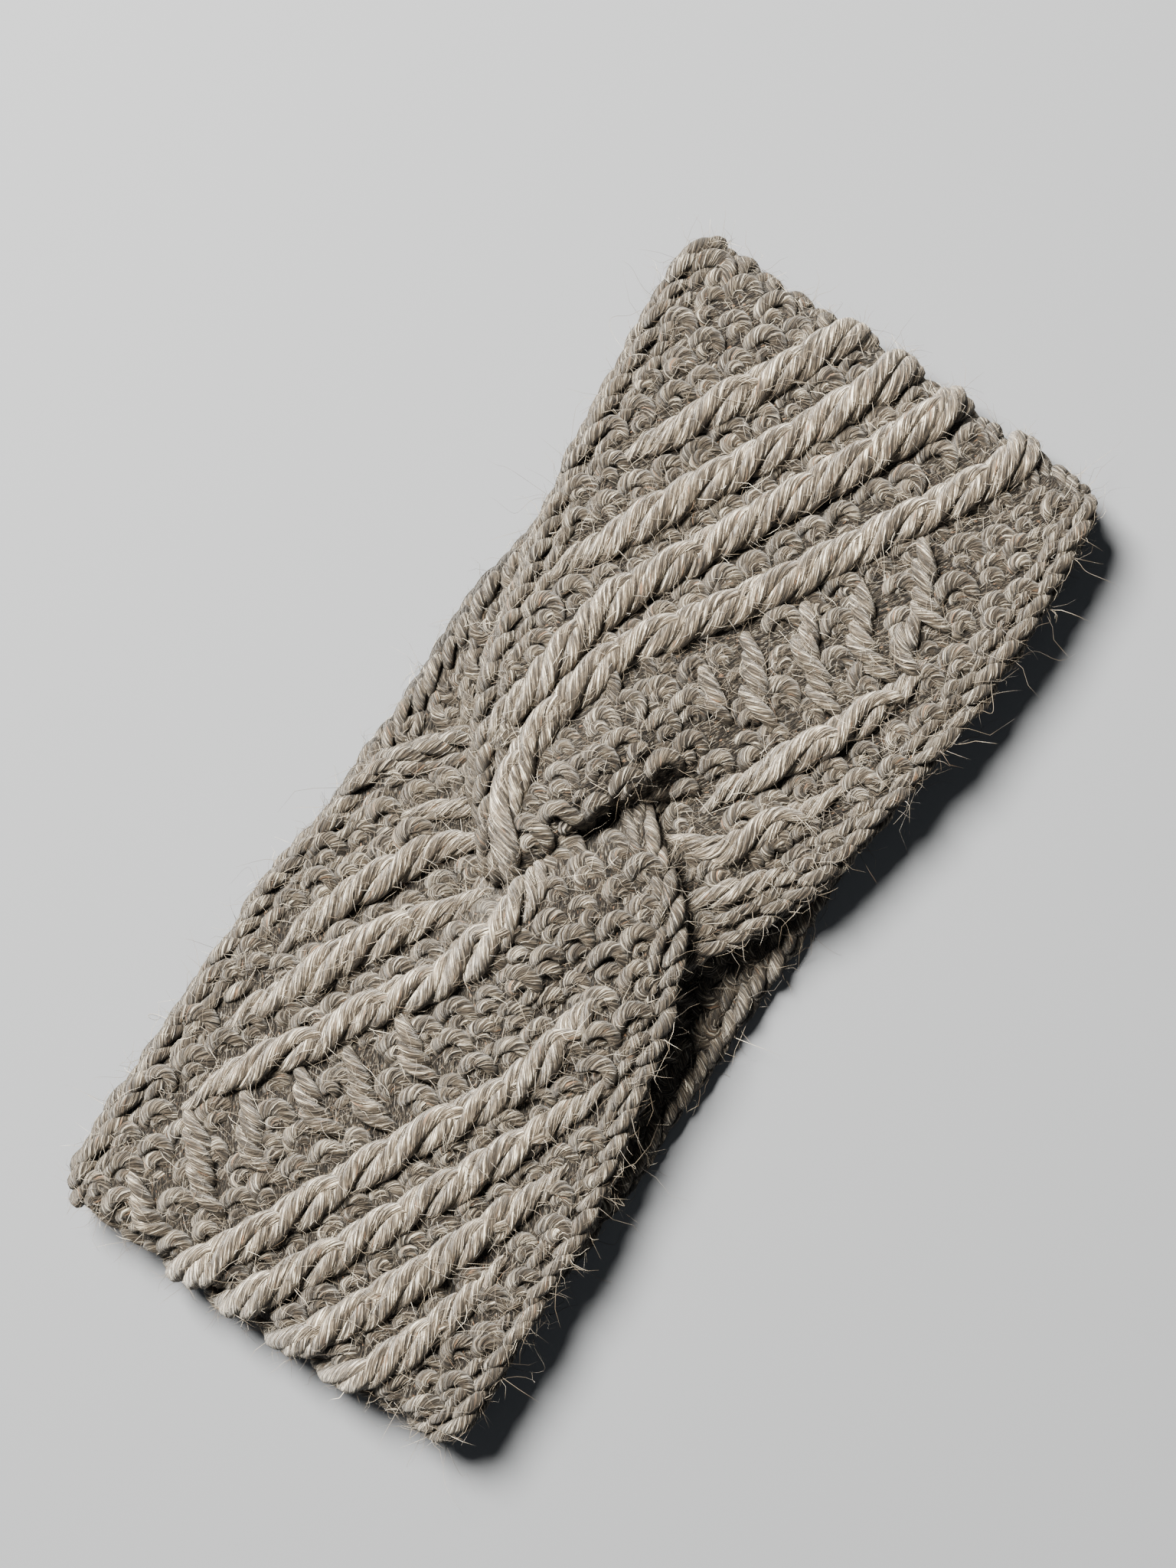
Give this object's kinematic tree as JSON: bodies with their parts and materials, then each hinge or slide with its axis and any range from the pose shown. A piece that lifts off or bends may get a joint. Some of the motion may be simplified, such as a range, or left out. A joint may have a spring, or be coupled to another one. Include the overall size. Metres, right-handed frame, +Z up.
{
  "type": "crochet headband",
  "caption": "Wide crocheted wool headband with a hooked twist at the front, lying flat as a loop, with diagonal raised ridges.",
  "frame": {"origin": "middle of the band's footprint, on the surface that it lies on", "axes": "+X along the flattened band, +Y across its width, +Z up through the back layer to the twist"},
  "size_m": [0.252, 0.1044, 0.0336],
  "materials": {
    "wool": "soft plied wool in a heathered oatmeal, matt with a light halo",
    "sewing_wool": "the same wool, drawn tight in overcast stitches"
  },
  "bodies": {
    "root": {"crochet_strip": "wool", "seam_yarn": "sewing_wool"}
  },
  "joints": []
}
